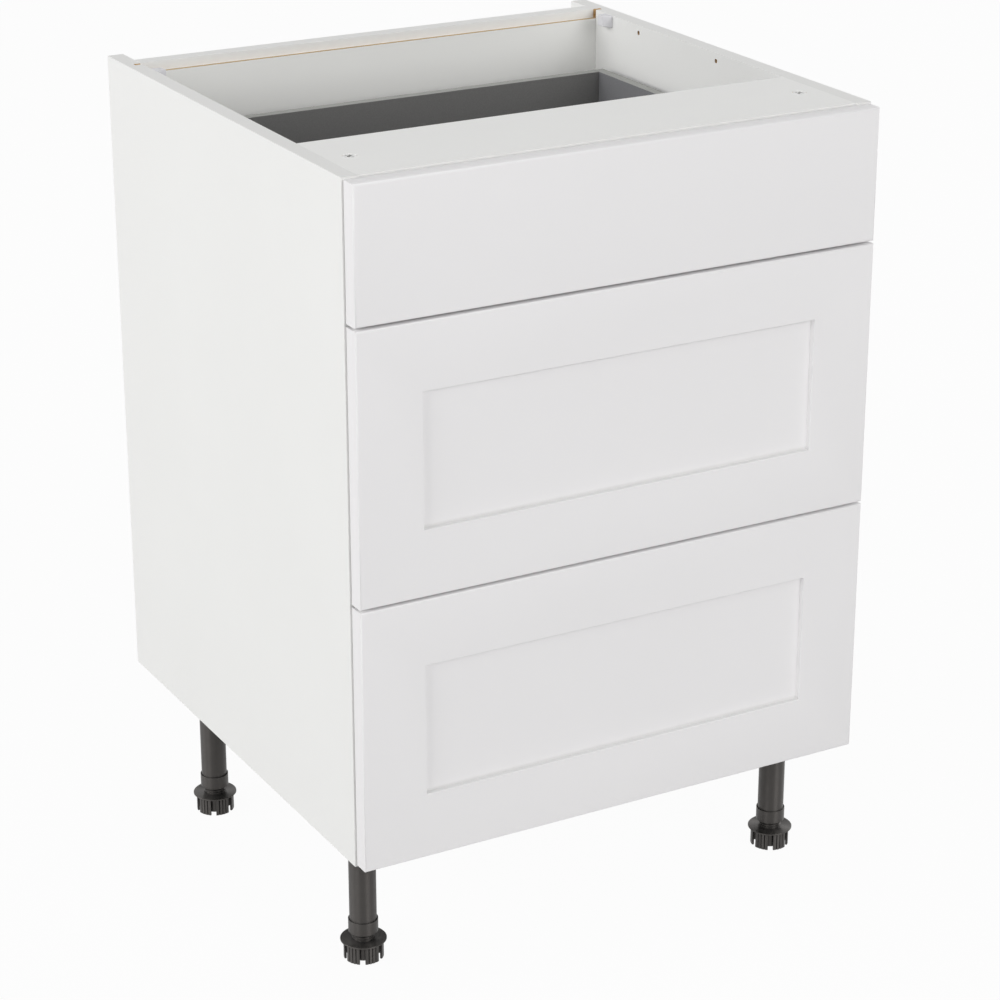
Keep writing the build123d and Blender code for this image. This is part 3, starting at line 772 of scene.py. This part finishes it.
# ---------------------------------------------------------------- legs
def skirt_sector(shape):
    """One sector of the foot's skirt, from slot to slot, with its grip grooves."""
    half_slot = SLOT_WIDTH / 2 / SKIRT_RADIUS
    sweep = math.tau / SKIRT_SLOTS - 2 * half_slot
    inner = SKIRT_RADIUS - SKIRT_WALL
    height = LEG_FLOOR_TO_SKIRT
    profile = [
        (inner, 0), (SKIRT_RADIUS - SKIRT_EDGE, 0), (SKIRT_RADIUS, SKIRT_EDGE), (SKIRT_RADIUS, height),
        (inner, height),
    ]
    dots = [shape.verts.new(turn_z(half_slot) @ Vector((radius, 0, z))) for radius, z in profile]
    start = shape.faces.new(dots)
    steps = SECTOR_LOBES * STEPS_A_LOBE
    made = bmesh.ops.extrude_face_region(shape, geom=[start], use_keep_orig=True)["geom"]
    verts = only(bmesh.types.BMVert, made)
    turn_verts(shape, verts, sweep / steps)
    bmesh.ops.spin(
        shape, geom=verts + only((bmesh.types.BMEdge, bmesh.types.BMFace), made), cent=(0, 0, 0),
        axis=(0, 0, 1), dvec=(0, 0, 0), angle=sweep * (steps - 1) / steps, steps=steps - 1,
        use_merge=False, use_duplicate=False,
    )
    bmesh.ops.remove_doubles(shape, verts=shape.verts, dist=WELD)
    for vert in shape.verts:
        angle = math.atan2(vert.co.y, vert.co.x) - half_slot
        column = round(angle / (sweep / steps))
        radius = Vector((vert.co.x, vert.co.y)).length
        if 0 < column < steps and column % STEPS_A_LOBE == 0 and radius > inner + MM:
            pull = (radius - GROOVE_DEPTH) / radius
            vert.co = (vert.co.x * pull, vert.co.y * pull, vert.co.z)


def thread(shape, start, length):
    """A closed helical ridge round the spindle."""
    dots = [shape.verts.new((radius, 0, start + rise)) for radius, rise in THREAD_RIDGE]
    first = [shape.edges.new(pair) for pair in zip(dots, dots[1:] + dots[:1])]
    turns = length / THREAD_PITCH
    steps = int(THREAD_STEPS * turns)
    made = bmesh.ops.spin(
        shape, geom=dots + first, cent=(0, 0, 0), axis=(0, 0, 1), dvec=(0, 0, length / steps),
        angle=math.tau * turns, steps=steps, use_merge=False, use_duplicate=False,
    )
    bmesh.ops.edgeloop_fill(shape, edges=first)
    bmesh.ops.edgeloop_fill(shape, edges=only(bmesh.types.BMEdge, made["geom_last"]))


def leg_part(part, corner, shape, body):
    """Stand a part of a leg on the leg's axis, and finish it."""
    bmesh.ops.translate(shape, verts=shape.verts, vec=leg_middle(corner))
    node = f"{part}_{corner}"
    return finish_piece(
        f"{node}_moulded", shape, leg_plastic[corner], body, [node], sharp=40.0,
    )


def foot(corner):
    """A levelling foot: slotted skirt, ribs, hub, flange and threaded spindle."""
    shape = bmesh.new()
    skirt_sector(shape)
    sector = list(shape.verts) + list(shape.edges) + list(shape.faces)
    for place in range(1, SKIRT_SLOTS):
        copied = bmesh.ops.duplicate(shape, geom=sector)["geom"]
        turn_verts(shape, only(bmesh.types.BMVert, copied), place * math.tau / SKIRT_SLOTS)
    rib_low = (HUB_RADIUS - 2 * SEAM, -RIB_THICKNESS / 2, RIB_RISE)
    rib_high = (SKIRT_RADIUS - SKIRT_WALL + SEAM, RIB_THICKNESS / 2, LEG_FLOOR_TO_SKIRT)
    for place in range(SKIRT_SLOTS):
        turn_verts(shape, box_between(shape, rib_low, rib_high), (place + 0.5) * math.tau / SKIRT_SLOTS)
    flange_low, flange_top = LEG_FLOOR_TO_SKIRT, LEG_FLOOR_TO_SKIRT + FLANGE_THICKNESS
    top = flange_top + SPINDLE_LENGTH
    spun(shape, [
        (0, top - SPINDLE_CAP), (HUB_BORE, top - SPINDLE_CAP), (HUB_BORE, HUB_RISE),
        (HUB_RADIUS - FOOT_EDGE, HUB_RISE), (HUB_RADIUS, HUB_RISE + FOOT_EDGE), (HUB_RADIUS, flange_low),
        (FLANGE_RADIUS - FOOT_EDGE, flange_low), (FLANGE_RADIUS, flange_low + FOOT_EDGE),
        (FLANGE_RADIUS, flange_top - FOOT_EDGE), (FLANGE_RADIUS - FOOT_EDGE, flange_top),
        (SPINDLE_CORE, flange_top), (SPINDLE_CORE, top - SPINDLE_CHAMFER),
        (SPINDLE_CORE - SPINDLE_CHAMFER, top), (0, top),
    ], LEG_STEPS, closed=False)
    thread(shape, flange_top - THREAD_SUNK, SPINDLE_LENGTH - THREAD_SHORT)
    leg_part("foot", corner, shape, f"levelling_foot_{corner}")


def tube(corner):
    """A leg's tube, with a wider mouth that ends in a ledge, and a ring groove let into the ledge."""
    low, high = box_of(f"leg_tube_{corner}")
    bottom, top = low.z, high.z
    ledge = bottom + MOUTH_HEIGHT
    groove = TUBE_RADIUS + RING_GROOVE
    shape = bmesh.new()
    spun(shape, [
        (TUBE_BORE, bottom + TUBE_EDGE), (TUBE_BORE + TUBE_EDGE, bottom),
        (MOUTH_RADIUS - TUBE_EDGE, bottom), (MOUTH_RADIUS, bottom + TUBE_EDGE),
        (MOUTH_RADIUS, ledge - LEDGE_EDGE), (MOUTH_RADIUS - LEDGE_EDGE, ledge),
        (groove, ledge), (groove, ledge - 2 * RING_GROOVE), (TUBE_RADIUS, ledge - 2 * RING_GROOVE),
        (TUBE_RADIUS, top), (TUBE_BORE, top),
    ], LEG_STEPS)
    leg_part("leg_tube", corner, shape, "cabinet")


def socket(corner):
    """A leg's socket: a plate screwed under the base, and a sleeve held by four gussets."""
    low, high = (spot - leg_middle(corner) for spot in box_of(f"leg_socket_{corner}"))
    plate_low = high.z - PLATE_THICKNESS
    joined = plate_low + SEAM
    shape = bmesh.new()
    box_between(shape, (low.x, low.y, plate_low), high)
    uprights = [edge for edge in shape.edges if abs(edge.verts[0].co.z - edge.verts[1].co.z) > MM]
    soften(shape, uprights, PLATE_CORNER, segments=6)
    rim = [edge for edge in shape.edges if all(abs(vert.co.z - plate_low) < MERGE for vert in edge.verts)]
    soften(shape, rim, PLATE_EDGE, segments=2)
    spun(shape, [
        (SOCKET_BORE, low.z), (SOCKET_RADIUS - SOCKET_EDGE, low.z),
        (SOCKET_RADIUS, low.z + SOCKET_EDGE), (SOCKET_RADIUS, joined), (SOCKET_BORE, joined),
    ], LEG_STEPS)
    inside, half = SOCKET_RADIUS - 2 * SEAM, GUSSET_THICKNESS / 2
    foot_of_gusset = plate_low - GUSSET_HEIGHT
    for place in range(4):
        gusset = outline_solid(shape, [
            (inside, -half, joined), (GUSSET_REACH, -half, joined),
            (SOCKET_RADIUS, -half, foot_of_gusset), (inside, -half, foot_of_gusset),
        ], (0, GUSSET_THICKNESS, 0))
        turn_verts(shape, gusset, place * math.tau / 4)
    even_shading(leg_part("leg_socket", corner, shape, "cabinet"))


leg_plastic = {corner: black_plastic_finish(corner) for corner in CORNERS}
for corner in CORNERS:
    foot(corner)
    tube(corner)
    socket(corner)


# ---------------------------------------------------------------- roller runners
def rollers(drawer, end):
    """A pair of grooved nylon rollers on a drawer's axles at one end."""
    node = f"{drawer}_rollers_{end}"
    low, high = box_of(node)
    radius = (high.z - low.z) / 2
    bore = AXLE_RADIUS + ROLLER_PLAY
    near, far = ROLLER_FROM_PANEL, ROLLER_FROM_PANEL + ROLLER_WIDTH
    # one face of the roller, from its bore to its rim: radius, and depth below the face
    face = [
        (bore, 0), (bore + 1.6 * MM, 0), (bore + 2.4 * MM, ROLLER_DISH), (radius - 2.6 * MM, ROLLER_DISH),
        (radius - 1.8 * MM, 0), (radius - ROLLER_EDGE, 0), (radius - ROLLER_CHAMFER, ROLLER_CHAMFER),
        (radius, ROLLER_EDGE),
    ]
    profile = [(reach, near + sunk) for reach, sunk in face]
    profile += [(reach, far - sunk) for reach, sunk in reversed(face)]
    shape = bmesh.new()
    for side in (-1, 1):
        verts = spun(shape, profile, ROLLER_STEPS)
        spot = (side * INNER_HALF, (low.y + high.y) / 2, (low.z + high.z) / 2)
        bmesh.ops.transform(shape, matrix=stand_on((-side, 0, 0), spot), verts=verts)
    finish_piece(f"{node}_turned", shape, nylon, f"rollers_{end}_{drawer}", [node])


def rivet(shape, side, spot_y, spot_z, profile):
    """An axle with its heads, its outline given as radii and distances from the side panel."""
    verts = spun(shape, profile, RIVET_STEPS, closed=False)
    matrix = stand_on((-side, 0, 0), (side * INNER_HALF, spot_y, spot_z))
    bmesh.ops.transform(shape, matrix=matrix, verts=verts)


def strip(shape, side, near, far, low_y, high_y, low_z, high_z):
    """A flat strip of steel, between two distances from the side panel."""
    left, right = sorted((side * (INNER_HALF - near), side * (INNER_HALF - far)))
    box_between(shape, (left, low_y, low_z), (right, high_y, high_z))


def round_long_edges(shape):
    """Ease the long edges of pressed steel."""
    long = [
        edge for edge in shape.edges
        if edge.calc_length() > STEEL_LONG_EDGE and edge.is_manifold
        and edge.calc_face_angle(0) > STEEL_CREASE
    ]
    soften(shape, long, STEEL_EDGE, segments=2)


def pressed_steel(shape, side, outline, low_y, high_y):
    """A folded steel section, its outline given as distances from the side panel and heights."""
    dots = [(side * INNER_HALF - side * reach, low_y, z) for reach, z in outline]
    outline_solid(shape, dots, (0, high_y - low_y, 0))


def axle_cap(seat, end):
    """Half the outline of an axle's domed cap, from its seat outwards to its end."""
    crown = end + math.copysign(0.2 * MM, seat - end)
    return [
        (AXLE_HEAD - 0.3 * MM, seat), (AXLE_HEAD - 0.6 * MM, crown), (AXLE_HEAD * 0.6, end), (0, end),
    ]


def fixed_member(drawer):
    """The pair of channels on the side panels, with stops, and axles at the front."""
    node = f"{drawer}_runner_fixed"
    low, high = box_of(node)
    steel, reach = RUNNER_STEEL, CHANNEL_REACH
    outline = [
        (0, low.z), (reach, low.z), (reach, low.z + steel), (steel, low.z + steel),
        (steel, high.z - steel), (reach, high.z - steel), (reach, high.z), (0, high.z),
    ]
    axle = [
        (0, 0), (AXLE_HEAD, 0), (AXLE_HEAD, AXLE_NEAR), (AXLE_RADIUS, AXLE_NEAR), (AXLE_RADIUS, AXLE_FAR),
    ] + axle_cap(AXLE_FAR, AXLE_FAR + AXLE_HEAD_LENGTH)
    stop_z = (high.z - steel - CHANNEL_STOP, high.z - steel)
    shape = bmesh.new()
    for side in (-1, 1):
        pressed_steel(shape, side, outline, low.y, high.y)
    round_long_edges(shape)
    for side in (-1, 1):
        strip(shape, side, steel, reach, high.y - steel, high.y, *stop_z)
        rivet(shape, side, low.y + ROLLER_FROM_END, axle_z[drawer], axle)
    even_shading(finish_piece(
        f"{node}_pressed", shape, coated_steel, "cabinet", [node],
    ))


def moving_member(drawer):
    """The pair of rails under the drawer's sides, with flanges, and axles at the rear."""
    node = f"{drawer}_runner_moving"
    low, high = box_of(node)
    roller_low, roller_high = box_of(f"{drawer}_rollers_rear")
    steel, gap = RUNNER_STEEL, RUNNER_GAP
    web, ledge = gap - steel, gap + LEDGE_REACH
    outline = [
        (web, low.z), (ledge, low.z), (ledge, low.z + steel), (gap, low.z + steel),
        (gap, high.z), (web, high.z),
    ]
    axle = axle_cap(AXLE_NEAR, AXLE_NEAR - AXLE_HEAD_LENGTH)[::-1] + [
        (AXLE_RADIUS, AXLE_NEAR), (AXLE_RADIUS, AXLE_FAR), (AXLE_HEAD, AXLE_FAR), (AXLE_HEAD, gap), (0, gap),
    ]
    flange_y = (low.y, high.y - FLANGE_SHORT)
    flange_z = (high.z - steel, high.z)
    shape = bmesh.new()
    for side in (-1, 1):
        pressed_steel(shape, side, outline, low.y, high.y)
        strip(shape, side, FLANGE_FROM_PANEL, web + FLANGE_SEAM, *flange_y, *flange_z)
    round_long_edges(shape)
    for side in (-1, 1):
        rivet(shape, side, high.y - ROLLER_FROM_END, (roller_low.z + roller_high.z) / 2, axle)
    even_shading(finish_piece(
        f"{node}_pressed", shape, coated_steel, f"drawer_{drawer}", [node],
    ))


for drawer in DRAWERS:
    fixed_member(drawer)
    moving_member(drawer)
    for end in ("front", "rear"):
        rollers(drawer, end)


# ---------------------------------------------------------------- floor, light and camera
def seen_share(tree):
    """1 for rays that see the background directly, in a mirror or through glass."""
    path = tree.nodes.new("ShaderNodeLightPath")
    total = path.outputs["Is Camera Ray"]
    for ray in ("Is Glossy Ray", "Is Transmission Ray"):
        add = tree.nodes.new("ShaderNodeMath")
        add.operation = "MAXIMUM"
        tree.links.new(total, add.inputs[0])
        tree.links.new(path.outputs[ray], add.inputs[1])
        total = add.outputs[0]
    return total


def blend_shaders(tree, share, lighting, seen, kind):
    """Output the lighting shader, blended with the seen one by a share."""
    blend = tree.nodes.new("ShaderNodeMixShader")
    for index, source in enumerate((share, lighting.outputs[0], seen.outputs[0])):
        tree.links.new(source, blend.inputs[index])
    tree.links.new(blend.outputs[0], tree.nodes.new(kind).inputs["Surface"])


FLOOR_HALF = 30.0
FLOOR_TONE = (0.55, 0.55, 0.55, 1)
FLOOR_WHITE = 0.96

floor_mesh = bpy.data.meshes.new("floor")
floor_shape = bmesh.new()
bmesh.ops.create_grid(floor_shape, x_segments=1, y_segments=1, size=FLOOR_HALF)
floor_shape.to_mesh(floor_mesh)
floor_shape.free()
floor = bpy.data.objects.new("floor", floor_mesh)
bpy.context.scene.collection.objects.link(floor)

floor_material = bpy.data.materials.new("pale_floor")
floor_material.use_nodes = True
floor_tree = floor_material.node_tree
floor_tree.nodes.clear()
matt = floor_tree.nodes.new("ShaderNodeBsdfDiffuse")
matt.inputs["Color"].default_value = FLOOR_TONE
glow = floor_tree.nodes.new("ShaderNodeEmission")
glow.inputs["Strength"].default_value = 1.0
share = floor_tree.nodes.new("ShaderNodeMath")
share.operation = "MULTIPLY"
share.inputs[1].default_value = FLOOR_WHITE
floor_tree.links.new(seen_share(floor_tree), share.inputs[0])
blend_shaders(floor_tree, share.outputs[0], matt, glow, "ShaderNodeOutputMaterial")
floor_mesh.materials.append(floor_material)

SKY_STRENGTH = 0.42
world = bpy.data.worlds.new("studio")
bpy.context.scene.world = world
world.use_nodes = True
world_tree = world.node_tree
world_tree.nodes.clear()
soft = world_tree.nodes.new("ShaderNodeBackground")
soft.inputs["Strength"].default_value = SKY_STRENGTH
white = world_tree.nodes.new("ShaderNodeBackground")
white.inputs["Color"].default_value = (1, 1, 1, 1)
white.inputs["Strength"].default_value = 1.0
blend_shaders(world_tree, seen_share(world_tree), soft, white, "ShaderNodeOutputWorld")

LAMP_DISTANCE = 9.4
LAMP_SIZE = 5.0
LAMP_AIM = Vector((0, 0, 0.8))
LAMP_RISE = math.radians(20)
# turn from the front towards the left, in degrees, and power
LAMPS = {
    "rear_right_soft_box": (-102, 190.0),
    "rear_left_soft_box": (110, 300.0),
    "left_soft_box": (70, 285.0),
    "front_soft_box": (-15, 382.0),
}


def soft_box(name, turn, power):
    """A large square lamp aimed at the upper part of the cabinet."""
    turn, level = math.radians(turn), math.cos(LAMP_RISE)
    towards = Vector((-math.sin(turn) * level, -math.cos(turn) * level, math.sin(LAMP_RISE)))
    lamp = bpy.data.lights.new(name, "AREA")
    lamp.shape = "SQUARE"
    lamp.size = LAMP_SIZE
    lamp.energy = power
    holder = bpy.data.objects.new(name, lamp)
    holder.location = LAMP_AIM + towards * LAMP_DISTANCE
    holder.rotation_euler = towards.to_track_quat("Z", "Y").to_euler()
    bpy.context.scene.collection.objects.link(holder)


for name, (turn, power) in LAMPS.items():
    soft_box(name, turn, power)

# fitted to the photographed corners of the carcass and the fronts
CAMERA_PLACE = (-1.44323, -2.6233, 1.5826)
CAMERA_YAW = 0.50930
CAMERA_PITCH = 0.37700
CAMERA_LENS = 104.83
SENSOR_WIDTH = 36.0
camera_data = bpy.data.cameras.new("camera")
camera_data.sensor_fit = "HORIZONTAL"
camera_data.sensor_width = SENSOR_WIDTH
camera_data.lens = CAMERA_LENS
camera = bpy.data.objects.new("camera", camera_data)
camera.location = CAMERA_PLACE
look = Vector((
    math.sin(CAMERA_YAW) * math.cos(CAMERA_PITCH),
    math.cos(CAMERA_YAW) * math.cos(CAMERA_PITCH),
    -math.sin(CAMERA_PITCH),
))
camera.rotation_euler = look.to_track_quat("-Z", "Y").to_euler()
bpy.context.scene.collection.objects.link(camera)
bpy.context.scene.camera = camera
bpy.context.scene.view_settings.view_transform = "Standard"
